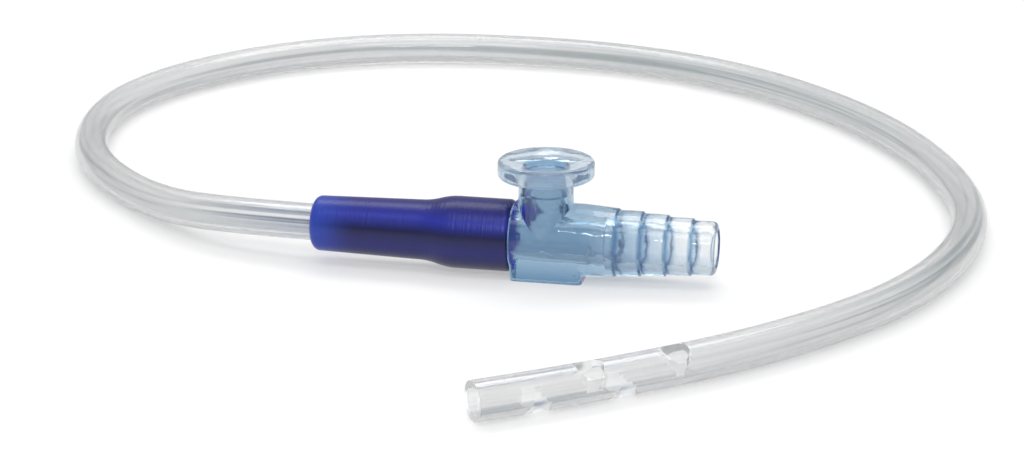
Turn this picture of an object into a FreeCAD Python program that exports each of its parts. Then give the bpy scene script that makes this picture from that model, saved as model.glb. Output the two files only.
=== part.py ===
import FreeCAD, Part
import math
import os
import Sketcher

# Mucus suction catheter: a clear soft tube with four side eyes near its open tip, a soft blue sleeve, and a
# clear moulded suction-control connector with a dished thumb port and a stepped outlet for the suction hose.
# Millimetres, +Z up. The origin is on the flat underside of the connector's foot, straight below the thumb
# port. The connector's main axis runs along X at axis_height, with its outlet towards +X and the sleeve
# towards -X. The tube leaves the sleeve along -X and lies on the table in one wide loop.

DIMENSIONS = [
    ("axis_height", 6.4, "table to the connector's main axis"),
    ("tube_outside_diameter", 6.0, "catheter tube, French gauge 18"),
    ("tube_bore_diameter", 4.0, "lumen of the catheter tube"),
    ("tube_insertion", 14.2, "length of tube held in the sleeve"),
    ("exit_run", 27.0, "straight stretch of the tube's route from its held end"),
    ("eye_diameter", 4.2, "punched side eye"),
    ("first_eye", 9.5, "tip to the centre of the first eye"),
    ("second_eye", 17.6, "tip to the centre of the second eye"),
    ("third_eye", 23.0, "tip to the centre of the third eye"),
    ("fourth_eye", 31.6, "tip to the centre of the fourth eye"),
    ("sleeve_length", 33.0, "overall length of the sleeve"),
    ("sleeve_wall", 1.45, "wall of the sleeve at both ends"),
    ("sleeve_waist_diameter", 9.7, "outside of the sleeve where the flare starts"),
    ("flare_length", 6.0, "length of the sleeve's flare"),
    ("flare_overlap", 1.2, "length of the spigot's tip that lies inside the flare"),
    ("sleeve_tail_rounding", 1.3, "rounding of the sleeve's tube end"),
    ("sleeve_mouth_rounding", 0.8, "rounding of the sleeve's connector end"),
    ("socket_clearance", 0.2, "gap between the spigot's tip and the end of its socket"),
    ("socket_transition", 2.6, "cone inside the sleeve from tube bore to socket"),
    ("spigot_diameter", 8.7, "spigot inside the sleeve"),
    ("spigot_length", 10.3, "shoulder to spigot tip"),
    ("spigot_lead", 0.6, "lead-in chamfer on the spigot"),
    ("body_diameter", 11.6, "barrel of the connector"),
    ("port_to_shoulder", 5.2, "port axis to the shoulder that the sleeve butts on"),
    ("port_to_foot_end", 6.4, "port axis to the end of the foot and of the plain barrel"),
    ("foot_flank_lean", 21.0, "lean of the foot's flanks from upright, in degrees"),
    ("foot_corner_rounding", 0.8, "upright corners of the foot"),
    ("port_to_first_step", 11.5, "port axis to the first step of the outlet"),
    ("shoulder_chamfer", 0.3, "rim of the connector's shoulder"),
    ("cone_end_diameter", 10.95, "outside just before the first step"),
    ("step_pitch", 4.0, "distance between the outlet's steps"),
    ("first_step_diameter", 10.43, "outside of the outlet's first and largest step"),
    ("step_drop", 0.6, "change of diameter from one step to the next"),
    ("step_run", 0.3, "length of the slope at each step"),
    ("mouth_rounding", 0.9, "outer edge of the outlet's mouth"),
    ("outlet_bore_diameter", 6.2, "bore from the mouth inwards"),
    ("port_to_bore_step", 9.9, "port axis to the end of the outlet bore"),
    ("lumen_diameter", 5.1, "through bore of the barrel and spigot"),
    ("disc_underside_height", 16.6, "table to the underside of the thumb disc"),
    ("disc_thickness", 2.75, "thumb disc at its rim"),
    ("disc_diameter", 15.45, "outside of the thumb disc"),
    ("disc_rounding", 0.6, "edges of the thumb disc"),
    ("rim_width", 1.25, "flat rim round the dish"),
    ("dish_depth", 1.0, "rim to the edge of the thumb hole"),
    ("thumb_hole_diameter", 6.5, "upper bore of the thumb port"),
    ("port_step_height", 13.75, "table to the step in the port's bore"),
    ("port_bore_diameter", 4.8, "lower bore of the thumb port"),
    ("neck_top_length", 8.6, "riser under the disc, along the barrel"),
    ("neck_top_width", 9.2, "riser under the disc, across the barrel"),
    ("neck_base_length", 9.3, "riser in the barrel, along it"),
    ("neck_base_inset", 0.36, "barrel diameter less the riser's width across it"),
    ("neck_sink", 1.0, "main axis up to the riser's base section"),
]
STEP_COUNT = 4

# Corners of the tube's route where it lies on the table, from the sleeve round the loop to the open tip.
LAID_ROUTE = [
    (-73.0, 15.5),
    (-93.5, 41.0),
    (-100.0, 76.0),
    (-86.0, 107.0),
    (-58.5, 127.5),
    (-19.0, 130.5),
    (13.5, 120.0),
    (41.0, 95.0),
    (58.5, 65.0),
    (67.0, 32.0),
    (60.5, -3.0),
    (41.5, -31.0),
    (17.0, -53.0),
    (2.3, -63.3),
]
# Share of the shorter neighbouring run that each bend takes up.
BEND_SHARE = 0.45

doc = FreeCAD.newDocument("suction_catheter")
sheet = doc.addObject("Spreadsheet::Sheet", "dimensions")


def fill_sheet():
    for row, (alias, value, note) in enumerate(DIMENSIONS, 1):
        sheet.set(f"A{row}", note)
        sheet.set(f"B{row}", str(value))
        sheet.setAlias(f"B{row}", alias)
    doc.recompute()


def size(alias):
    return float(sheet.get(alias))


def bind(thing, prop, expression):
    """Ties a property to the sheet; {name} in the expression stands for the cell of that name."""
    cells = {alias: f"dimensions.{alias}" for alias, _, _ in DIMENSIONS}
    thing.setExpression(prop, expression.format(**cells))


def add_body(label):
    body = doc.addObject("PartDesign::Body", label)
    body.Label = label
    body.Placement = FreeCAD.Placement()
    return body


def add_sketch(body, name, role, up="0", off="0"):
    """Adds a sketch on one of the body's origin planes, its own origin moved up it and off it."""
    plane = next(item for item in body.Origin.OriginFeatures if item.Role == role)
    sketch = body.newObject("Sketcher::SketchObject", name)
    sketch.AttachmentSupport = [(plane, "")]
    sketch.MapMode = "FlatFace"
    bind(sketch, ".AttachmentOffset.Base.y", up)
    bind(sketch, ".AttachmentOffset.Base.z", off)
    return sketch


def draw_outline(sketch, corners, gap=None):
    """Draws a closed outline of straight sides and ties each corner's two coordinates to the sheet. The side after
    the corner numbered gap is left open. Returns the sides' numbers in the sketch by their first corner."""
    count = len(corners)
    turn = 2 * math.pi / count
    loose = [FreeCAD.Vector(math.cos(turn * i), math.sin(turn * i), 0) for i in range(count)]
    sides = {}
    for i in range(count):
        if i != gap:
            sides[i] = sketch.addGeometry(Part.LineSegment(loose[i], loose[(i + 1) % count]), False)
    for i, side in sides.items():
        following = (i + 1) % count
        if following in sides:
            sketch.addConstraint(Sketcher.Constraint("Coincident", side, 2, sides[following], 1))
    for i, corner in enumerate(corners):
        side, point = (sides[i], 1) if i in sides else (sides[i - 1], 2)
        for kind, expression in zip(("DistanceX", "DistanceY"), corner):
            index = sketch.addConstraint(Sketcher.Constraint(kind, -1, 1, side, point, 1.0))
            bind(sketch, f"Constraints[{index}]", expression)
    return sides


def draw_flare(sketch, wide, narrow):
    """Closes an outline's gap with an S of two equal arcs, tangent to each other and to the sides they join."""
    doc.recompute()
    top = sketch.Geometry[wide].EndPoint
    foot = sketch.Geometry[narrow].StartPoint
    run = top.x - foot.x
    rise = top.y - foot.y
    radius = (run**2 + rise**2) / (4 * rise)
    turn = math.asin(run / 2 / radius)
    up = FreeCAD.Vector(0, 0, 1)
    convex = Part.Circle(top - FreeCAD.Vector(0, radius, 0), up, radius)
    concave = Part.Circle(foot + FreeCAD.Vector(0, radius, 0), up, radius)
    upper = sketch.addGeometry(Part.ArcOfCircle(convex, math.pi / 2, math.pi / 2 + turn), False)
    lower = sketch.addGeometry(Part.ArcOfCircle(concave, -math.pi / 2, turn - math.pi / 2), False)
    sketch.addConstraint(Sketcher.Constraint("Tangent", wide, 2, upper, 1))
    sketch.addConstraint(Sketcher.Constraint("Tangent", upper, 2, lower, 2))
    sketch.addConstraint(Sketcher.Constraint("Tangent", lower, 1, narrow, 1))
    sketch.addConstraint(Sketcher.Constraint("Equal", upper, lower))


def draw_ellipse(sketch, length, width):
    """Draws an ellipse about the sketch's origin, from expressions for its length in x and its width in y."""
    across = size("disc_diameter") / 2
    centre = FreeCAD.Vector(0, 0, 0)
    shape = Part.Ellipse(FreeCAD.Vector(0, across, 0), FreeCAD.Vector(across / 2, 0, 0), centre)
    sketch.addGeometry(shape, False)
    sketch.exposeInternalGeometry(0)
    sketch.addConstraint(Sketcher.Constraint("Coincident", 0, 3, -1, 1))
    sketch.addConstraint(Sketcher.Constraint("PointOnObject", 1, 1, -2))
    major = sketch.addConstraint(Sketcher.Constraint("Distance", 1, 2 * across))
    minor = sketch.addConstraint(Sketcher.Constraint("Distance", 2, across))
    bind(sketch, f"Constraints[{major}]", width)
    bind(sketch, f"Constraints[{minor}]", length)


def add_turned(body, name, kind, sketch, axis):
    """Turns a sketch a full circle about one of its own axes, as a Revolution or a Groove."""
    feature = body.newObject(f"PartDesign::{kind}", name)
    feature.Profile = sketch
    feature.ReferenceAxis = (sketch, [axis])
    feature.Angle = 360
    doc.recompute()
    return feature


def add_fillet(body, name, test, radius):
    """Rounds the edges of the body's present shape for which the test is true."""
    base = body.Tip
    names = [f"Edge{i}" for i, edge in enumerate(base.Shape.Edges, 1) if test(edge)]
    if not names:
        raise RuntimeError(f"{name} finds no edge")
    fillet = body.newObject("PartDesign::Fillet", name)
    fillet.Base = (base, names)
    bind(fillet, "Radius", radius)
    doc.recompute()
    return fillet


def is_ring(edge, axis, place, radius):
    """Tells whether an edge is a circle of a radius about X or Z whose centre has that place on the axis."""
    if not isinstance(edge.Curve, Part.Circle):
        return False
    direction = {"x": FreeCAD.Vector(1, 0, 0), "z": FreeCAD.Vector(0, 0, 1)}[axis]
    along = getattr(edge.Curve.Center, axis)
    aligned = abs(edge.Curve.Axis.dot(direction)) > 0.999
    return aligned and abs(along - place) < 0.01 and abs(edge.Curve.Radius - radius) < 0.01


def make_sleeve():
    """Soft sleeve: holds the tube in its long narrow end and grips the connector's spigot in its flared end."""
    body = add_body("connector_sleeve")
    tail = "-{port_to_shoulder} - {sleeve_length}"
    mouth = "-{port_to_shoulder}"
    socket_end = "-{port_to_shoulder} - {spigot_length} - {socket_clearance}"
    flare_end = "-{port_to_shoulder} - {spigot_length} + {flare_overlap}"
    tube = "{tube_outside_diameter} / 2"
    socket = "{spigot_diameter} / 2"
    outside = socket + " + {sleeve_wall}"
    sketch = add_sketch(body, "sleeve_section", "XZ_Plane", up="{axis_height}")
    sides = draw_outline(
        sketch,
        [
            (tail, tube),
            (socket_end + " - {socket_transition}", tube),
            (socket_end, socket),
            (mouth, socket),
            (mouth, outside),
            (flare_end, outside),
            (flare_end + " - {flare_length}", "{sleeve_waist_diameter} / 2"),
            (tail, tube + " + {sleeve_wall}"),
        ],
        gap=5,
    )
    draw_flare(sketch, sides[4], sides[6])
    add_turned(body, "sleeve_wall_turned", "Revolution", sketch, "H_Axis")
    tail_x = -size("port_to_shoulder") - size("sleeve_length")
    tail_radius = size("tube_outside_diameter") / 2 + size("sleeve_wall")
    add_fillet(body, "tail_edge", lambda e: is_ring(e, "x", tail_x, tail_radius), "{sleeve_tail_rounding}")
    mouth_x = -size("port_to_shoulder")
    mouth_radius = size("spigot_diameter") / 2 + size("sleeve_wall")
    add_fillet(body, "mouth_edge", lambda e: is_ring(e, "x", mouth_x, mouth_radius), "{sleeve_mouth_rounding}")
    return body


def outlet_profile():
    """Outside of the connector's turned part, from the spigot's tip to the stepped outlet's mouth."""
    tip = "-{port_to_shoulder} - {spigot_length}"
    spigot = "{spigot_diameter} / 2"
    corners = [
        (tip, "0"),
        (tip, spigot + " - {spigot_lead}"),
        (tip + " + {spigot_lead}", spigot),
        ("-{port_to_shoulder}", spigot),
        ("-{port_to_shoulder}", "{body_diameter} / 2 - {shoulder_chamfer}"),
        ("-{port_to_shoulder} + {shoulder_chamfer}", "{body_diameter} / 2"),
        ("{port_to_foot_end}", "{body_diameter} / 2"),
        ("{port_to_first_step}", "{cone_end_diameter} / 2"),
    ]
    for i in range(STEP_COUNT):
        start = f"{{port_to_first_step}} + {i} * {{step_pitch}}"
        radius = f"({{first_step_diameter}} - {i} * {{step_drop}}) / 2"
        corners.append((start + " + {step_run}", radius))
        corners.append((start + " + {step_pitch}", radius))
    corners.append((corners[-1][0], "0"))
    return corners


def add_foot(body):
    """Flat foot under the barrel: its leaning flanks run tangent into the barrel."""
    low = "({body_diameter} / 2 * sin({foot_flank_lean}) - {axis_height})"
    half = "{body_diameter} / 2 * cos({foot_flank_lean})"
    base = half + " + " + low + " * tan({foot_flank_lean})"
    join = "-{body_diameter} / 2 * sin({foot_flank_lean})"
    floor = "-{axis_height}"
    sketch = add_sketch(body, "foot_section", "YZ_Plane", up="{axis_height}", off="-{port_to_shoulder}")
    draw_outline(sketch, [("-(" + base + ")", floor), (base, floor), (half, join), ("-" + half, join)])
    foot = body.newObject("PartDesign::Pad", "foot")
    foot.Profile = sketch
    bind(foot, "Length", "{port_to_shoulder} + {port_to_foot_end}")
    doc.recompute()
    slope = math.cos(math.radians(size("foot_flank_lean")))

    def is_upright_corner(edge):
        return abs(abs(edge.tangentAt(edge.FirstParameter).z) - slope) < 0.01

    add_fillet(body, "foot_corners", is_upright_corner, "{foot_corner_rounding}")


def add_neck(body):
    """Riser of the thumb port: an oval that widens downwards until it is almost as wide as the barrel."""
    base = add_sketch(body, "neck_base_section", "XY_Plane", off="{axis_height} + {neck_sink}")
    draw_ellipse(base, "{neck_base_length}", "{body_diameter} - {neck_base_inset}")
    top = add_sketch(body, "neck_top_section", "XY_Plane", off="{disc_underside_height}")
    draw_ellipse(top, "{neck_top_length}", "{neck_top_width}")
    neck = body.newObject("PartDesign::AdditiveLoft", "neck")
    neck.Profile = base
    neck.Sections = [top]
    neck.Ruled = True
    doc.recompute()


def add_disc(body):
    """Thumb disc: a raised flat rim round a shallow dish that falls to the thumb hole."""
    top = "{disc_underside_height} + {disc_thickness}"
    sketch = add_sketch(body, "disc_section", "XZ_Plane")
    draw_outline(
        sketch,
        [
            ("0", "{disc_underside_height}"),
            ("{disc_diameter} / 2", "{disc_underside_height}"),
            ("{disc_diameter} / 2", top),
            ("{disc_diameter} / 2 - {rim_width}", top),
            ("{thumb_hole_diameter} / 2", top + " - {dish_depth}"),
            ("0", top + " - {dish_depth}"),
        ],
    )
    add_turned(body, "thumb_disc", "Revolution", sketch, "V_Axis")


def cut_main_bores(body):
    """Through lumen along the main axis, wider from the mouth to a step behind the first ring."""
    tip = "-{port_to_shoulder} - {spigot_length}"
    mouth = f"{{port_to_first_step}} + {STEP_COUNT} * {{step_pitch}}"
    sketch = add_sketch(body, "main_bore_section", "XZ_Plane", up="{axis_height}")
    draw_outline(
        sketch,
        [
            (tip, "0"),
            (mouth, "0"),
            (mouth, "{outlet_bore_diameter} / 2"),
            ("{port_to_bore_step}", "{outlet_bore_diameter} / 2"),
            ("{port_to_bore_step}", "{lumen_diameter} / 2"),
            (tip, "{lumen_diameter} / 2"),
        ],
    )
    add_turned(body, "main_bores", "Groove", sketch, "H_Axis")


def cut_port_bores(body):
    """Thumb hole down to a step, then a narrower bore into the lumen."""
    top = "{disc_underside_height} + {disc_thickness}"
    sketch = add_sketch(body, "port_bore_section", "XZ_Plane")
    draw_outline(
        sketch,
        [
            ("0", "{axis_height}"),
            ("{port_bore_diameter} / 2", "{axis_height}"),
            ("{port_bore_diameter} / 2", "{port_step_height}"),
            ("{thumb_hole_diameter} / 2", "{port_step_height}"),
            ("{thumb_hole_diameter} / 2", top),
            ("0", top),
        ],
    )
    add_turned(body, "port_bores", "Groove", sketch, "V_Axis")


def make_connector():
    """Suction-control connector, one clear moulding."""
    body = add_body("suction_connector")
    add_foot(body)
    sketch = add_sketch(body, "turned_section", "XZ_Plane", up="{axis_height}")
    draw_outline(sketch, outlet_profile())
    add_turned(body, "spigot_barrel_outlet", "Revolution", sketch, "H_Axis")
    add_neck(body)
    add_disc(body)

    disc_radius = size("disc_diameter") / 2
    underside = size("disc_underside_height")
    disc_top = underside + size("disc_thickness")
    add_fillet(
        body,
        "disc_edges",
        lambda e: is_ring(e, "z", underside, disc_radius) or is_ring(e, "z", disc_top, disc_radius),
        "{disc_rounding}",
    )
    mouth_x = size("port_to_first_step") + STEP_COUNT * size("step_pitch")
    last_step = size("first_step_diameter") - (STEP_COUNT - 1) * size("step_drop")
    add_fillet(body, "mouth_edge_round", lambda e: is_ring(e, "x", mouth_x, last_step / 2), "{mouth_rounding}")

    before = body.Tip.Shape.Volume
    cut_main_bores(body)
    between = body.Tip.Shape.Volume
    cut_port_bores(body)
    after = body.Tip.Shape.Volume
    if not before > between > after:
        raise RuntimeError("a bore of the connector cuts nothing")
    return body


def route_corners():
    """Corners of the tube's whole route: held on the connector's axis, then laid on the table."""
    held = size("axis_height")
    laid = size("tube_outside_diameter") / 2
    inner = size("tube_insertion") - size("port_to_shoulder") - size("sleeve_length")
    corners = [FreeCAD.Vector(inner, 0, held), FreeCAD.Vector(inner - size("exit_run"), 0, held)]
    corners += [FreeCAD.Vector(x, y, laid) for x, y in LAID_ROUTE]
    return corners


def route_edges(corners):
    """Straight runs joined by tangent arcs, each as large as its two runs allow."""
    edges = []
    start = corners[0]
    for before, corner, after in zip(corners, corners[1:], corners[2:]):
        arriving = corner - before
        leaving = after - corner
        reach = BEND_SHARE * min(arriving.Length, leaving.Length)
        arriving.normalize()
        leaving.normalize()
        half_turn = arriving.getAngle(leaving) / 2
        radius = reach / math.tan(half_turn)
        inward = leaving - arriving
        inward.normalize()
        entry = corner - arriving * reach
        leave = corner + leaving * reach
        middle = corner + inward * (radius / math.cos(half_turn) - radius)
        edges.append(Part.LineSegment(start, entry).toShape())
        edges.append(Part.Arc(entry, middle, leave).toShape())
        print(f"bend at {corner.x:.0f}, {corner.y:.0f}: radius {radius:.1f} mm")
        start = leave
    edges.append(Part.LineSegment(start, corners[-1]).toShape())
    return edges


def point_from_tip(wire, distance):
    """Point on the route at a distance along it from the open tip."""
    for edge in reversed(wire.OrderedEdges):
        if distance <= edge.Length:
            return edge.valueAt(edge.getParameterByLength(edge.Length - distance))
        distance -= edge.Length
    raise ValueError("the route is shorter than that")


def add_swept(name, route, diameter):
    """Sweeps a circle along the route."""
    wire = route.Shape
    first = wire.OrderedEdges[0]
    circle = doc.addObject("Part::Circle", name + "_section")
    bind(circle, "Radius", diameter + " / 2")
    start = first.valueAt(first.FirstParameter)
    turned = FreeCAD.Rotation(FreeCAD.Vector(0, 0, 1), first.tangentAt(first.FirstParameter))
    circle.Placement = FreeCAD.Placement(start, turned)
    swept = doc.addObject("Part::Sweep", name)
    swept.Sections = [circle]
    swept.Spine = (route, [f"Edge{i + 1}" for i in range(len(wire.Edges))])
    swept.Solid = True
    swept.Frenet = False
    doc.recompute()
    return swept


def make_tube():
    """Catheter tube: one extruded hollow tube, square-cut at its tip, with four eyes on alternate sides."""
    wire = Part.Wire(route_edges(route_corners()))
    route = doc.addObject("Part::Feature", "tube_route")
    route.Shape = wire
    outside = add_swept("tube_outside", route, "{tube_outside_diameter}")
    lumen = add_swept("tube_lumen", route, "{tube_bore_diameter}")
    cutters = [lumen]
    up = FreeCAD.Vector(0, 0, 1)
    down = FreeCAD.Vector(0, 0, -1)
    eyes = [("first_eye", down), ("second_eye", up), ("third_eye", down), ("fourth_eye", up)]
    for eye, facing in eyes:
        punch = doc.addObject("Part::Cylinder", eye + "_punch")
        bind(punch, "Radius", "{eye_diameter} / 2")
        bind(punch, "Height", "{tube_outside_diameter}")
        place = point_from_tip(wire, size(eye))
        punch.Placement = FreeCAD.Placement(place, FreeCAD.Rotation(up, facing))
        cutters.append(punch)
    removed = doc.addObject("Part::MultiFuse", "lumen_and_eyes")
    removed.Shapes = cutters
    tube = doc.addObject("Part::Cut", "catheter_tube")
    tube.Base = outside
    tube.Tool = removed
    tube.Label = "catheter_tube"
    doc.recompute()

    area = math.pi * size("tube_outside_diameter") ** 2 / 4
    print(f"route {wire.Length:.1f} mm, swept {outside.Shape.Volume:.1f}, area x length {area * wire.Length:.1f}")
    return tube


def check_document(parts):
    for item in doc.Objects:
        if "Invalid" in item.State or "Error" in item.State:
            raise RuntimeError(f"{item.Name} is {item.State}")
    for part in parts:
        if part.Shape.isNull() or not part.Shape.isValid():
            raise RuntimeError(f"{part.Label} has no valid shape")
        if len(part.Shape.Solids) != 1:
            raise RuntimeError(f"{part.Label} has {len(part.Shape.Solids)} solids")


fill_sheet()
parts = [make_tube(), make_sleeve(), make_connector()]
doc.recompute()
check_document(parts)
os.makedirs("parts", exist_ok=True)
for part in parts:
    part.Shape.exportStep(f"parts/{part.Label}.step")
    box = part.Shape.BoundBox
    print(f"{part.Label}: {part.Shape.Volume:.1f} mm3, {box.XLength:.1f} x {box.YLength:.1f} x {box.ZLength:.1f}")
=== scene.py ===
"""Mucus suction catheter, laid on a white table: soft clear tube, blue sleeve and clear blue connector."""
import math

import bmesh
import bpy
from mathutils import Matrix, Vector


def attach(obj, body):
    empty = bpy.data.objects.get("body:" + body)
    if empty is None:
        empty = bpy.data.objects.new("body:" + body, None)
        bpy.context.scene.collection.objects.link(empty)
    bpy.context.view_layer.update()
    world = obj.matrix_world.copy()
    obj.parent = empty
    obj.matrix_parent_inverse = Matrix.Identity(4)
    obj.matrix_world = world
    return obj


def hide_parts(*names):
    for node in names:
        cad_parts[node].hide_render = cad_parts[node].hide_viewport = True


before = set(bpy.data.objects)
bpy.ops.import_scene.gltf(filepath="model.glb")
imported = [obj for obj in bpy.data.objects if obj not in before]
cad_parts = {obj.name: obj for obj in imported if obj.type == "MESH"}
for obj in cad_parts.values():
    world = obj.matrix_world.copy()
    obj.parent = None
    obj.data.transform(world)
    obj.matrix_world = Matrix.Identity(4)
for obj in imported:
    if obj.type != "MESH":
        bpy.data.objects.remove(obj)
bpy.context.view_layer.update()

MM = 0.001

# Sizes of the real pieces, in metres.
AXIS_HEIGHT = 6.4 * MM
TUBE_DIAMETER = 6.0 * MM
TUBE_BORE = 4.0 * MM
TUBE_LENGTH = 484.4 * MM
SLEEVE_TAIL_X = -38.2 * MM
SLEEVE_MOUTH_X = -5.2 * MM
# Half way down the cone in which the sleeve's socket narrows to the tube's bore.
SOCKET_END_X = -17 * MM
SOCKET_RADIUS = 4.35 * MM
# Radius just outside the bores of the port and the outlet, and well inside every outer face.
BORE_LIMIT = 3.4 * MM
FIRST_STEP_X = 11.8 * MM
STEP_PITCH = 4 * MM
# Height at which the riser's look starts to give way to the disc's.
RISER_TOP = 15.7 * MM
EYE_DIAMETER = 4.2 * MM
# Each eye: its distance from the open tip, and the side that it faces, 1 for up and -1 for down.
EYES = [(9.5 * MM, -1), (17.6 * MM, 1), (23.0 * MM, -1), (31.6 * MM, 1)]
# The upper eyes are turned a little to the front of the tube.
EYE_TURN = math.radians(-18)

# The tube's route: held on the connector's axis, then laid on the table round the loop to the open tip.
ROUTE = [
    (-0.0240, 0.0, 0.0064),
    (-0.0510, 0.0, 0.0064),
    (-0.0730, 0.0155, 0.003),
    (-0.0935, 0.0410, 0.003),
    (-0.1000, 0.0760, 0.003),
    (-0.0860, 0.1070, 0.003),
    (-0.0585, 0.1275, 0.003),
    (-0.0190, 0.1305, 0.003),
    (0.0135, 0.1200, 0.003),
    (0.0410, 0.0950, 0.003),
    (0.0585, 0.0650, 0.003),
    (0.0670, 0.0320, 0.003),
    (0.0605, -0.0030, 0.003),
    (0.0415, -0.0310, 0.003),
    (0.0170, -0.0530, 0.003),
    (0.0023, -0.0633, 0.003),
]


def colour(code):
    """Linear colour from an sRGB hex value."""
    channels = [int(code[i : i + 2], 16) / 255 for i in (1, 3, 5)]
    linear = [c / 12.92 if c <= 0.04045 else ((c + 0.055) / 1.055) ** 2.4 for c in channels]
    return (*linear, 1.0)


def new_material(name):
    material = bpy.data.materials.new(name)
    material.use_nodes = True
    material.node_tree.nodes.clear()
    return material


def add_node(tree, kind, settings=None, values=None, links=None):
    """Adds a node with its settings, the values of its sockets, and the links into them."""
    node = tree.nodes.new(kind)
    for key, value in (settings or {}).items():
        setattr(node, key, value)
    for key, value in (values or {}).items():
        node.inputs[key].default_value = value
    for key, source in (links or {}).items():
        tree.links.new(source, node.inputs[key])
    return node


def set_ramp(node, stops):
    """Sets a colour ramp's stops from pairs of place and colour."""
    elements = node.color_ramp.elements
    while len(elements) < len(stops):
        elements.new(0.5)
    for element, (place, value) in zip(elements, stops):
        element.position = place
        element.color = value


# Camera, at the photograph's viewing angle.
camera_data = bpy.data.cameras.new("camera")
camera_data.lens = 98.74
camera_data.sensor_width = 36.0
camera_data.clip_start = 0.01
camera_data.clip_end = 50.0
camera = bpy.data.objects.new("camera", camera_data)
camera.location = (0.08313, -0.41713, 0.14619)
camera.rotation_euler = (math.radians(90 - 18.132), 0, math.radians(12.0))
bpy.context.scene.collection.objects.link(camera)
bpy.context.scene.camera = camera


def link_piece(name, mesh, material):
    piece = bpy.data.objects.new(name, mesh)
    bpy.context.scene.collection.objects.link(piece)
    mesh.materials.clear()
    mesh.materials.append(material)
    return piece


def route_mesh(bevel):
    """Mesh of the route's smooth line: bare for a bevel of nothing, or a round skin of that radius."""
    curve = bpy.data.curves.new("tube_route", "CURVE")
    curve.dimensions = "3D"
    spline = curve.splines.new("NURBS")
    spline.points.add(len(ROUTE) - 1)
    for point, place in zip(spline.points, ROUTE):
        point.co = (*place, 1)
    spline.order_u = 3
    spline.use_endpoint_u = True
    spline.resolution_u = 24
    curve.bevel_depth = bevel
    curve.bevel_resolution = 22
    holder = bpy.data.objects.new("tube_route", curve)
    bpy.context.scene.collection.objects.link(holder)
    bpy.context.view_layer.update()
    mesh = bpy.data.meshes.new_from_object(holder.evaluated_get(bpy.context.evaluated_depsgraph_get()))
    bpy.data.objects.remove(holder)
    bpy.data.curves.remove(curve)
    return mesh


def apply_boolean(piece, cutter):
    """Cuts one piece with another and keeps the result as the piece's mesh."""
    cut = piece.modifiers.new("cut", "BOOLEAN")
    cut.operation = "DIFFERENCE"
    cut.solver = "MANIFOLD"
    cut.object = cutter
    bpy.context.view_layer.update()
    made = bpy.data.meshes.new_from_object(piece.evaluated_get(bpy.context.evaluated_depsgraph_get()))
    piece.modifiers.clear()
    piece.data = made
    bpy.data.objects.remove(cutter)


def place_from_tip(path, distance):
    """Point of the path at a distance along it from its last point."""
    for after, before in zip(reversed(path), reversed(path[:-1])):
        step = (after - before).length
        if distance <= step:
            return after.lerp(before, distance / step)
        distance -= step
    raise ValueError("the path is shorter than that")


def eye_places(path):
    """Centre of the bore at each eye, and the direction in which the eye faces."""
    places = []
    for distance, facing in EYES:
        centre = place_from_tip(path, distance)
        run = (place_from_tip(path, distance - MM) - place_from_tip(path, distance + MM)).normalized()
        turn = Matrix.Rotation(EYE_TURN if facing > 0 else 0.0, 3, run)
        places.append((centre, turn @ Vector((0, 0, facing))))
    return places


def is_in_eye(place, places):
    """Whether a point lies on the punched wall of one of the eyes."""
    slack = 0.1 * MM
    for centre, facing in places:
        offset = place - centre
        height = offset.dot(facing)
        reach = (offset - facing * height).length
        if abs(reach - EYE_DIAMETER / 2) < slack and height > 0:
            return True
    return False


def make_tube(material, cut_material):
    """Hollow tube along the route, with its four eyes punched through the wall."""
    line = route_mesh(0)
    path = [v.co.copy() for v in line.vertices]
    bm = bmesh.new()
    bm.from_mesh(route_mesh(TUBE_BORE / 2))
    bmesh.ops.reverse_faces(bm, faces=bm.faces)
    bm.from_mesh(route_mesh(TUBE_DIAMETER / 2))
    rims = [e for e in bm.edges if e.is_boundary]
    for end in (path[0], path[-1]):
        near = [e for e in rims if (e.verts[0].co - end).length < TUBE_DIAMETER]
        bmesh.ops.bridge_loops(bm, edges=near)
    bmesh.ops.recalc_face_normals(bm, faces=bm.faces)
    mesh = bpy.data.meshes.new("catheter_tube")
    bm.to_mesh(mesh)
    bm.free()
    piece = link_piece("clear_tube", mesh, material)

    punches = bmesh.new()
    places = eye_places(path)
    for centre, facing in places:
        bmesh.ops.create_cone(
            punches,
            cap_ends=True,
            segments=64,
            radius1=EYE_DIAMETER / 2,
            radius2=EYE_DIAMETER / 2,
            depth=TUBE_DIAMETER,
            matrix=Matrix.Translation(centre + facing * TUBE_DIAMETER / 2)
            @ facing.to_track_quat("Z", "Y").to_matrix().to_4x4(),
        )
    punch_mesh = bpy.data.meshes.new("punches")
    punches.to_mesh(punch_mesh)
    punches.free()
    apply_boolean(piece, link_piece("punches", punch_mesh, material))
    finish_shading(piece, angle=35)
    piece.data.materials.append(cut_material)
    # The punches cut the walls of the eyes, and a knife the face that looks straight out of the tip.
    outwards = (path[-1] - path[-2]).normalized()
    straight = math.cos(0.1)
    for face in piece.data.polygons:
        near_tip = (face.center - path[-1]).length < TUBE_DIAMETER
        if is_in_eye(face.center, places) or (near_tip and face.normal.dot(outwards) > straight):
            face.material_index = 1
    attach(piece, "root")
    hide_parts("catheter_tube")


def finish_shading(piece, angle):
    """Smooth shading that breaks at edges sharper than an angle in degrees."""
    mesh = piece.data
    mesh.polygons.foreach_set("use_smooth", [True] * len(mesh.polygons))
    mesh.set_sharp_from_angle(angle=math.radians(angle))


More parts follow.
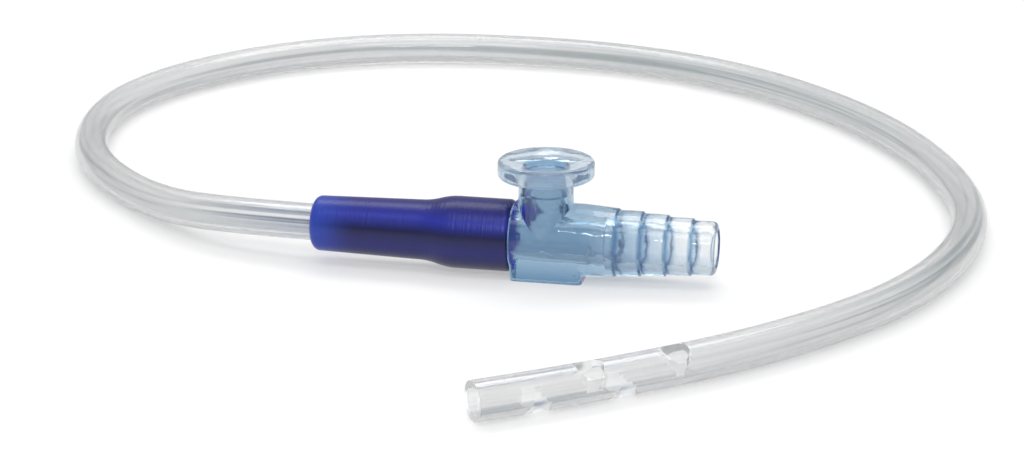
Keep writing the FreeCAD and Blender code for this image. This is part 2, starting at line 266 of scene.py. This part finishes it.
def merged_copy(node, name, material, angle):
    """Copy of a CAD node's mesh with its loose triangles joined and its curved faces shaded smooth."""
    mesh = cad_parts[node].data.copy()
    mesh.name = name
    bm = bmesh.new()
    bm.from_mesh(mesh)
    bmesh.ops.remove_doubles(bm, verts=bm.verts, dist=0.002 * MM)
    bm.to_mesh(mesh)
    bm.free()
    # The normals stored in it belong to the loose triangles.
    mesh.attributes.remove(mesh.attributes["custom_normal"])
    piece = link_piece(name, mesh, material)
    finish_shading(piece, angle)
    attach(piece, "root")
    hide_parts(node)
    return piece


def distance_from_axis(tree, where):
    """Distance of the shaded point from the main axis of the sleeve and connector."""
    centred = add_node(
        tree,
        "ShaderNodeMapping",
        values={"Location": (0, 0, -AXIS_HEIGHT)},
        links={"Vector": where.outputs["Object"]},
    )
    across = add_node(
        tree,
        "ShaderNodeVectorMath",
        settings={"operation": "MULTIPLY"},
        values={1: (0, 1, 1)},
        links={0: centred.outputs["Vector"]},
    )
    length = add_node(
        tree, "ShaderNodeVectorMath", settings={"operation": "LENGTH"}, links={0: across.outputs["Vector"]}
    )
    return length.outputs["Value"]


def clear_pvc():
    """Plasticised PVC tube, extruded: glossy, clear and slightly milky, with faint draw lines along it."""
    line_length = 140 * MM
    line_spacing = 0.9 * MM
    # Stretch of the tube over which the painted reflection of the sleeve fades out.
    sleeve_reflection_start = 14 * MM
    sleeve_reflection_end = 34 * MM
    material = new_material("clear_plasticised_pvc")
    tree = material.node_tree
    where = add_node(tree, "ShaderNodeTexCoord")
    split = add_node(tree, "ShaderNodeSeparateXYZ", links={"Vector": where.outputs["UV"]})
    along = add_node(
        tree,
        "ShaderNodeMath",
        settings={"operation": "MULTIPLY"},
        values={1: TUBE_LENGTH / line_length},
        links={0: split.outputs["X"]},
    )
    angle = add_node(
        tree,
        "ShaderNodeMath",
        settings={"operation": "MULTIPLY"},
        values={1: math.tau},
        links={0: split.outputs["Y"]},
    )
    sideways = add_node(tree, "ShaderNodeMath", settings={"operation": "COSINE"}, links={0: angle.outputs[0]})
    upwards = add_node(tree, "ShaderNodeMath", settings={"operation": "SINE"}, links={0: angle.outputs[0]})
    section = add_node(
        tree,
        "ShaderNodeCombineXYZ",
        links={"X": along.outputs[0], "Y": sideways.outputs[0], "Z": upwards.outputs[0]},
    )
    lines_across = TUBE_DIAMETER / 2 / line_spacing
    stretched = add_node(
        tree,
        "ShaderNodeVectorMath",
        settings={"operation": "MULTIPLY"},
        values={1: (1, lines_across, lines_across)},
        links={0: section.outputs["Vector"]},
    )
    lines = add_node(
        tree,
        "ShaderNodeTexNoise",
        values={"Scale": 1.0, "Detail": 2.0},
        links={"Vector": stretched.outputs["Vector"]},
    )
    milky = add_node(tree, "ShaderNodeValToRGB", links={"Fac": lines.outputs["Fac"]})
    set_ramp(milky, [(0.36, colour("#C9CFD1")), (0.47, colour("#EFF0F1")), (0.6, colour("#FAFAFA"))])
    # Beside the sleeve the lines are painted darker and bluer: a painted reflection of the sleeve in the
    # tube.
    painted_sleeve_reflection = add_node(tree, "ShaderNodeValToRGB", links={"Fac": lines.outputs["Fac"]})
    set_ramp(painted_sleeve_reflection, [(0.42, colour("#98A2B2")), (0.5, colour("#E9ECF0")), (0.56, colour("#FFFFFF"))])
    near_sleeve = add_node(
        tree,
        "ShaderNodeMapRange",
        values={
            "From Min": sleeve_reflection_start / TUBE_LENGTH,
            "From Max": sleeve_reflection_end / TUBE_LENGTH,
            "To Min": 1.0,
            "To Max": 0.0,
        },
        links={"Value": split.outputs["X"]},
    )
    tone = add_node(
        tree,
        "ShaderNodeMix",
        settings={"data_type": "RGBA"},
        links={0: near_sleeve.outputs["Result"], 6: milky.outputs["Color"], 7: painted_sleeve_reflection.outputs["Color"]},
    )
    gloss = add_node(
        tree,
        "ShaderNodeMapRange",
        values={"From Min": 0.35, "From Max": 0.65, "To Min": 0.06, "To Max": 0.14},
        links={"Value": lines.outputs["Fac"]},
    )
    shader = add_node(
        tree,
        "ShaderNodeBsdfPrincipled",
        values={"IOR": 1.47, "Transmission Weight": 0.88},
        links={"Base Color": tone.outputs[2], "Roughness": gloss.outputs["Result"]},
    )
    body = add_node(
        tree, "ShaderNodeVolumeAbsorption", values={"Color": (0.0, 0.03, 0.04, 1), "Density": 25.0}
    )
    add_node(
        tree,
        "ShaderNodeOutputMaterial",
        links={"Surface": shader.outputs["BSDF"], "Volume": body.outputs["Volume"]},
    )
    return material


def cut_pvc():
    """Plasticised PVC where a knife or a punch went through it: milky, matt and paler than the tube."""
    # A faint painted glow stands in for the light that runs along the clear wall and leaves at its cuts.
    grain_size = 0.4 * MM
    material = new_material("cut_plasticised_pvc")
    tree = material.node_tree
    where = add_node(tree, "ShaderNodeTexCoord")
    grain = add_node(
        tree,
        "ShaderNodeTexNoise",
        values={"Scale": 1 / grain_size, "Detail": 2.0},
        links={"Vector": where.outputs["Object"]},
    )
    relief = add_node(
        tree,
        "ShaderNodeBump",
        values={"Strength": 0.3, "Distance": 0.05 * MM},
        links={"Height": grain.outputs["Fac"]},
    )
    shader = add_node(
        tree,
        "ShaderNodeBsdfPrincipled",
        values={
            "Base Color": colour("#FDFDFD"),
            "Roughness": 0.3,
            "IOR": 1.1,
            "Transmission Weight": 0.78,
            "Emission Color": colour("#F4F6F8"),
            "Emission Strength": 0.11,
        },
        links={"Normal": relief.outputs["Normal"]},
    )
    add_node(tree, "ShaderNodeOutputMaterial", links={"Surface": shader.outputs["BSDF"]})
    return material


def blue_pvc():
    """Soft PVC sleeve, moulded: satin deep blue, with painted light on top and at its thin end, which lets
    light in.
    """
    ring_width = 0.5 * MM
    painted_light_end_x = -30 * MM
    half_height = 5 * MM
    material = new_material("blue_moulded_pvc")
    tree = material.node_tree
    where = add_node(tree, "ShaderNodeTexCoord")
    split = add_node(tree, "ShaderNodeSeparateXYZ", links={"Vector": where.outputs["Object"]})
    # Painted highlights and shade by height: two lighter bands, with a dark middle, top and bottom.
    height = add_node(
        tree,
        "ShaderNodeMapRange",
        values={"From Min": AXIS_HEIGHT - half_height, "From Max": AXIS_HEIGHT + half_height},
        links={"Value": split.outputs["Z"]},
    )
    body = add_node(tree, "ShaderNodeValToRGB", links={"Fac": height.outputs["Result"]})
    set_ramp(
        body,
        [
            (0.0, colour("#1B1B4A")),
            (0.33, colour("#25266B")),
            (0.60, colour("#161942")),
            (0.80, colour("#26309A")),
            (1.0, colour("#1C1D68")),
        ],
    )
    # The thin end is painted a brighter blue, a painted light for what comes through its thin wall.
    along = add_node(
        tree,
        "ShaderNodeMapRange",
        settings={"interpolation_type": "SMOOTHSTEP"},
        values={"From Min": SLEEVE_TAIL_X, "From Max": painted_light_end_x, "To Min": 0.85, "To Max": 0.0},
        links={"Value": split.outputs["X"]},
    )
    tone = add_node(
        tree,
        "ShaderNodeMix",
        settings={"data_type": "RGBA"},
        values={7: colour("#2A45AC")},
        links={0: along.outputs["Result"], 6: body.outputs["Color"]},
    )
    # The end face and the inside of the socket show through the clear connector. They are painted brighter
    # and given a painted glow, for the light that comes through the sleeve's wall.
    end_face = add_node(
        tree,
        "ShaderNodeMapRange",
        values={"From Min": SLEEVE_MOUTH_X - 0.05 * MM, "From Max": SLEEVE_MOUTH_X - 0.02 * MM},
        links={"Value": split.outputs["X"]},
    )
    bore = add_node(
        tree,
        "ShaderNodeMapRange",
        values={
            "From Min": SOCKET_RADIUS + 0.05 * MM,
            "From Max": SOCKET_RADIUS + 0.15 * MM,
            "To Min": 1.0,
            "To Max": 0.0,
        },
        links={"Value": distance_from_axis(tree, where)},
    )
    flared = add_node(
        tree,
        "ShaderNodeMath",
        settings={"operation": "GREATER_THAN"},
        values={1: SOCKET_END_X},
        links={0: split.outputs["X"]},
    )
    socket = add_node(
        tree,
        "ShaderNodeMath",
        settings={"operation": "MULTIPLY"},
        links={0: flared.outputs[0], 1: bore.outputs["Result"]},
    )
    inner = add_node(
        tree,
        "ShaderNodeMath",
        settings={"operation": "MAXIMUM"},
        links={0: end_face.outputs["Result"], 1: socket.outputs[0]},
    )
    painted_glow = add_node(
        tree,
        "ShaderNodeMath",
        settings={"operation": "MULTIPLY"},
        values={1: 0.22},
        links={0: inner.outputs[0]},
    )
    tone = add_node(
        tree,
        "ShaderNodeMix",
        settings={"data_type": "RGBA"},
        values={7: colour("#3F5CF0")},
        links={0: inner.outputs[0], 6: tone.outputs[2]},
    )
    rings = add_node(
        tree,
        "ShaderNodeTexNoise",
        settings={"noise_dimensions": "1D"},
        values={"Scale": 1 / ring_width, "Detail": 2.0},
        links={"W": split.outputs["X"]},
    )
    relief = add_node(
        tree,
        "ShaderNodeBump",
        values={"Strength": 0.6, "Distance": 0.08 * MM},
        links={"Height": rings.outputs["Fac"]},
    )
    shader = add_node(
        tree,
        "ShaderNodeBsdfPrincipled",
        values={
            "Roughness": 0.32,
            "IOR": 1.5,
            "Specular IOR Level": 0.35,
            "Emission Color": colour("#2C48E0"),
        },
        links={
            "Base Color": tone.outputs[2],
            "Normal": relief.outputs["Normal"],
            "Emission Strength": painted_glow.outputs[0],
        },
    )
    add_node(tree, "ShaderNodeOutputMaterial", links={"Surface": shader.outputs["BSDF"]})
    return material


def clear_blue():
    """Rigid clear moulding, pale blue: glossy and a little wavy outside, frosted inside by its core pins."""
    grain_size = 0.45 * MM
    wave_length = 1.8 * MM
    # The outlet's rings start beyond the plain barrel, and the crackle lies round the end of its bore.
    rings_from_x = 9.5 * MM
    crackle_x = 11 * MM
    crackle_reach = 2.4 * MM
    material = new_material("clear_blue_moulding")
    tree = material.node_tree
    where = add_node(tree, "ShaderNodeTexCoord")
    flat = add_node(
        tree,
        "ShaderNodeVectorMath",
        settings={"operation": "MULTIPLY"},
        values={1: (1, 1, 0)},
        links={0: where.outputs["Object"]},
    )
    port_radius = add_node(
        tree, "ShaderNodeVectorMath", settings={"operation": "LENGTH"}, links={0: flat.outputs["Vector"]}
    )
    nearest = add_node(
        tree,
        "ShaderNodeMath",
        settings={"operation": "MINIMUM"},
        links={0: distance_from_axis(tree, where), 1: port_radius.outputs["Value"]},
    )
    frost = add_node(
        tree,
        "ShaderNodeMapRange",
        values={"From Min": BORE_LIMIT - 0.1 * MM, "From Max": BORE_LIMIT, "To Min": 0.16, "To Max": 0.02},
        links={"Value": nearest.outputs[0]},
    )
    split = add_node(tree, "ShaderNodeSeparateXYZ", links={"Vector": where.outputs["Object"]})
    # Each step of the outlet has a narrow line of painted shade at its edge.
    ring_count = add_node(
        tree,
        "ShaderNodeMapRange",
        settings={"clamp": False},
        values={"From Min": FIRST_STEP_X, "From Max": FIRST_STEP_X + STEP_PITCH},
        links={"Value": split.outputs["X"]},
    )
    ring = add_node(
        tree,
        "ShaderNodeMath",
        settings={"operation": "PINGPONG"},
        values={1: 0.5},
        links={0: ring_count.outputs["Result"]},
    )
    ring_side = add_node(
        tree,
        "ShaderNodeMath",
        settings={"operation": "GREATER_THAN"},
        values={1: rings_from_x},
        links={0: split.outputs["X"]},
    )
    ring_place = add_node(
        tree,
        "ShaderNodeMapRange",
        values={"From Min": 0.0, "From Max": 1.0, "To Min": 0.5},
        links={"Value": ring_side.outputs[0], "To Max": ring.outputs[0]},
    )
    rings = add_node(tree, "ShaderNodeValToRGB", links={"Fac": ring_place.outputs["Result"]})
    set_ramp(rings, [(0.0, colour("#7FA6C8")), (0.09, colour("#C4D9EA")), (0.16, colour("#FFFFFF"))])
    # The tint is deepest in the foot and the barrel, and palest in the outlet's end and the disc.
    outwards = add_node(
        tree,
        "ShaderNodeMapRange",
        values={"From Min": 6 * MM, "From Max": 22 * MM},
        links={"Value": split.outputs["X"]},
    )
    length_tint = add_node(tree, "ShaderNodeValToRGB", links={"Fac": outwards.outputs["Result"]})
    set_ramp(length_tint, [(0.0, colour("#B8CDDD")), (0.6, colour("#E2EBF3")), (1.0, colour("#FFFFFF"))])
    upwards = add_node(
        tree,
        "ShaderNodeMapRange",
        values={"From Min": 0.0, "From Max": 4.5 * MM},
        links={"Value": split.outputs["Z"]},
    )
    foot_tint = add_node(tree, "ShaderNodeValToRGB", links={"Fac": upwards.outputs["Result"]})
    set_ramp(foot_tint, [(0.0, colour("#8FB2CC")), (1.0, colour("#FFFFFF"))])
    tint = rings
    for layer in (length_tint, foot_tint):
        tint = add_node(
            tree,
            "ShaderNodeVectorMath",
            settings={"operation": "MULTIPLY"},
            links={0: tint.outputs[0], 1: layer.outputs["Color"]},
        )
    disc = add_node(
        tree,
        "ShaderNodeMapRange",
        values={"From Min": RISER_TOP, "From Max": RISER_TOP + 0.5 * MM},
        links={"Value": split.outputs["Z"]},
    )
    tint = add_node(
        tree,
        "ShaderNodeMix",
        settings={"data_type": "RGBA"},
        values={7: colour("#E6EFF7")},
        links={0: disc.outputs["Result"], 6: tint.outputs[0]},
    )
    # The hole in the disc has a ring of painted shade round its edge.
    at_hole = add_node(
        tree,
        "ShaderNodeMath",
        settings={"operation": "COMPARE"},
        values={1: BORE_LIMIT, 2: 0.28 * MM},
        links={0: port_radius.outputs["Value"]},
    )
    in_disc = add_node(
        tree,
        "ShaderNodeMath",
        settings={"operation": "GREATER_THAN"},
        values={1: RISER_TOP - 0.1 * MM},
        links={0: split.outputs["Z"]},
    )
    hole_edge_shade = add_node(
        tree,
        "ShaderNodeMath",
        settings={"operation": "MULTIPLY"},
        links={0: at_hole.outputs[0], 1: in_disc.outputs[0]},
    )
    tint = add_node(
        tree,
        "ShaderNodeMix",
        settings={"data_type": "RGBA", "blend_type": "MULTIPLY"},
        values={7: colour("#8FB0CC")},
        links={0: hole_edge_shade.outputs[0], 6: tint.outputs[2]},
    )
    # Slow waves run over every face, and a fine grain that is deepest in the crackle.
    grain = add_node(
        tree,
        "ShaderNodeTexNoise",
        values={"Scale": 1 / grain_size, "Detail": 3.0},
        links={"Vector": where.outputs["Object"]},
    )
    inside = add_node(
        tree,
        "ShaderNodeMath",
        settings={"operation": "LESS_THAN"},
        values={1: BORE_LIMIT},
        links={0: nearest.outputs[0]},
    )
    crackle = add_node(
        tree,
        "ShaderNodeMath",
        settings={"operation": "COMPARE"},
        values={1: crackle_x, 2: crackle_reach},
        links={0: split.outputs["X"]},
    )
    rough_end = add_node(
        tree,
        "ShaderNodeMath",
        settings={"operation": "MULTIPLY"},
        links={0: inside.outputs[0], 1: crackle.outputs[0]},
    )
    depth = add_node(
        tree,
        "ShaderNodeMapRange",
        values={"To Min": 0.3, "To Max": 0.9},
        links={"Value": rough_end.outputs[0]},
    )
    grain_share = add_node(
        tree,
        "ShaderNodeMapRange",
        values={"To Min": 0.25, "To Max": 1.0},
        links={"Value": rough_end.outputs[0]},
    )
    fine = add_node(
        tree,
        "ShaderNodeMath",
        settings={"operation": "MULTIPLY"},
        links={0: grain.outputs["Fac"], 1: grain_share.outputs["Result"]},
    )
    waves = add_node(
        tree,
        "ShaderNodeTexNoise",
        values={"Scale": 1 / wave_length, "Detail": 1.0},
        links={"Vector": where.outputs["Object"]},
    )
    height = add_node(
        tree,
        "ShaderNodeMath",
        settings={"operation": "MULTIPLY_ADD"},
        values={1: 6.0},
        links={0: waves.outputs["Fac"], 2: fine.outputs[0]},
    )
    relief = add_node(
        tree,
        "ShaderNodeBump",
        values={"Distance": 0.06 * MM},
        links={"Height": height.outputs[0], "Strength": depth.outputs["Result"]},
    )
    clearness = add_node(
        tree,
        "ShaderNodeMapRange",
        values={"From Min": RISER_TOP, "From Max": RISER_TOP + 0.8 * MM, "To Min": 0.96, "To Max": 0.82},
        links={"Value": split.outputs["Z"]},
    )
    shader = add_node(
        tree,
        "ShaderNodeBsdfPrincipled",
        values={"IOR": 1.5},
        links={
            "Transmission Weight": clearness.outputs["Result"],
            "Base Color": tint.outputs[2],
            "Roughness": frost.outputs["Result"],
            "Normal": relief.outputs["Normal"],
        },
    )
    body = add_node(
        tree, "ShaderNodeVolumeAbsorption", values={"Color": (0.0, 0.40, 0.64, 1), "Density": 40.0}
    )
    add_node(
        tree,
        "ShaderNodeOutputMaterial",
        links={"Surface": shader.outputs["BSDF"], "Volume": body.outputs["Volume"]},
    )
    return material


make_tube(clear_pvc(), cut_pvc())
sleeve = merged_copy("connector_sleeve", "blue_sleeve", blue_pvc(), angle=30)
connector = merged_copy("suction_connector", "clear_connector", clear_blue(), angle=30)


def make_stage():
    """White table, which keeps the object's shadow."""
    # Shares of plain white in it, as the camera sees it, and as gloss and clear walls show it.
    camera_share = 0.4
    clear_share = 0.6
    bm = bmesh.new()
    bmesh.ops.create_grid(bm, x_segments=1, y_segments=1, size=4.0)
    mesh = bpy.data.meshes.new("table")
    bm.to_mesh(mesh)
    bm.free()
    material = new_material("white_table")
    tree = material.node_tree
    shader = add_node(tree, "ShaderNodeBsdfDiffuse", values={"Color": (0.96, 0.96, 0.96, 1)})
    white = add_node(tree, "ShaderNodeEmission", values={"Color": (1, 1, 1, 1), "Strength": 1.0})
    path = add_node(tree, "ShaderNodeLightPath")
    clear = add_node(
        tree,
        "ShaderNodeMath",
        settings={"operation": "MAXIMUM"},
        links={0: path.outputs["Is Glossy Ray"], 1: path.outputs["Is Transmission Ray"]},
    )
    seen = add_node(
        tree,
        "ShaderNodeMath",
        settings={"operation": "MULTIPLY"},
        values={1: clear_share},
        links={0: clear.outputs[0]},
    )
    share = add_node(
        tree,
        "ShaderNodeMath",
        settings={"operation": "MULTIPLY_ADD"},
        values={1: camera_share},
        links={0: path.outputs["Is Camera Ray"], 2: seen.outputs[0]},
    )
    both = add_node(
        tree,
        "ShaderNodeMixShader",
        links={0: share.outputs[0], 1: shader.outputs["BSDF"], 2: white.outputs["Emission"]},
    )
    add_node(tree, "ShaderNodeOutputMaterial", links={"Surface": both.outputs[0]})
    table = link_piece("table", mesh, material)


def make_world():
    """White studio, a little darker overhead and towards the front, as gloss and clear plastic show it."""
    palest_side = (-0.2, 0.92, -0.34)
    world = bpy.data.worlds.new("studio")
    world.use_nodes = True
    tree = world.node_tree
    tree.nodes.clear()
    path = add_node(tree, "ShaderNodeLightPath")
    where = add_node(tree, "ShaderNodeTexCoord")
    depth = add_node(
        tree,
        "ShaderNodeVectorMath",
        settings={"operation": "DOT_PRODUCT"},
        values={1: palest_side},
        links={0: where.outputs["Generated"]},
    )
    shade = add_node(
        tree,
        "ShaderNodeMapRange",
        settings={"interpolation_type": "SMOOTHSTEP"},
        values={"From Min": -0.7, "From Max": 0.5},
        links={"Value": depth.outputs["Value"]},
    )
    mirrored = add_node(
        tree,
        "ShaderNodeMapRange",
        values={"To Min": 0.28, "To Max": 0.55},
        links={"Value": shade.outputs["Result"]},
    )
    through = add_node(
        tree,
        "ShaderNodeMapRange",
        values={"To Min": 0.8, "To Max": 1.05},
        links={"Value": shade.outputs["Result"]},
    )
    lighting = add_node(tree, "ShaderNodeBackground", values={"Color": (1, 1, 1, 1), "Strength": 0.61})
    gloss = add_node(tree, "ShaderNodeBackground", links={"Strength": mirrored.outputs["Result"]})
    clear = add_node(tree, "ShaderNodeBackground", links={"Strength": through.outputs["Result"]})
    white = add_node(tree, "ShaderNodeBackground", values={"Strength": 1.0})
    backdrops = {"Is Glossy Ray": gloss, "Is Transmission Ray": clear, "Is Camera Ray": white}
    seen = lighting
    for ray, backdrop in backdrops.items():
        backdrop.inputs["Color"].default_value = (1, 1, 1, 1)
        seen = add_node(
            tree,
            "ShaderNodeMixShader",
            links={0: path.outputs[ray], 1: seen.outputs[0], 2: backdrop.outputs[0]},
        )
    add_node(tree, "ShaderNodeOutputWorld", links={"Surface": seen.outputs[0]})
    bpy.context.scene.world = world


def add_lamp(name, place, aim, width, height, power):
    """Soft rectangular lamp at a place, turned to face a point."""
    data = bpy.data.lights.new(name, "AREA")
    data.shape = "RECTANGLE"
    data.size = width
    data.size_y = height
    data.energy = power
    lamp = bpy.data.objects.new(name, data)
    lamp.location = place
    lamp.rotation_euler = (Vector(aim) - Vector(place)).to_track_quat("-Z", "Y").to_euler()
    bpy.context.scene.collection.objects.link(lamp)


make_stage()
make_world()
add_lamp("key", place=(-0.12, 0.56, 1.05), aim=(0, 0.02, 0), width=1.1, height=0.45, power=5.4)
add_lamp("front", place=(0.10, -0.47, 1.08), aim=(0, 0, 0), width=0.9, height=0.4, power=2.6)
add_lamp("strip", place=(0.17, -0.79, 0.62), aim=(0, 0, 0), width=0.5, height=0.04, power=2.0)

bpy.context.scene.view_settings.view_transform = "Standard"
# Light bounces to and fro inside the clear walls before it leaves them.
bpy.context.scene.cycles.max_bounces = 20
bpy.context.scene.cycles.glossy_bounces = 16
bpy.context.scene.cycles.transmission_bounces = 20
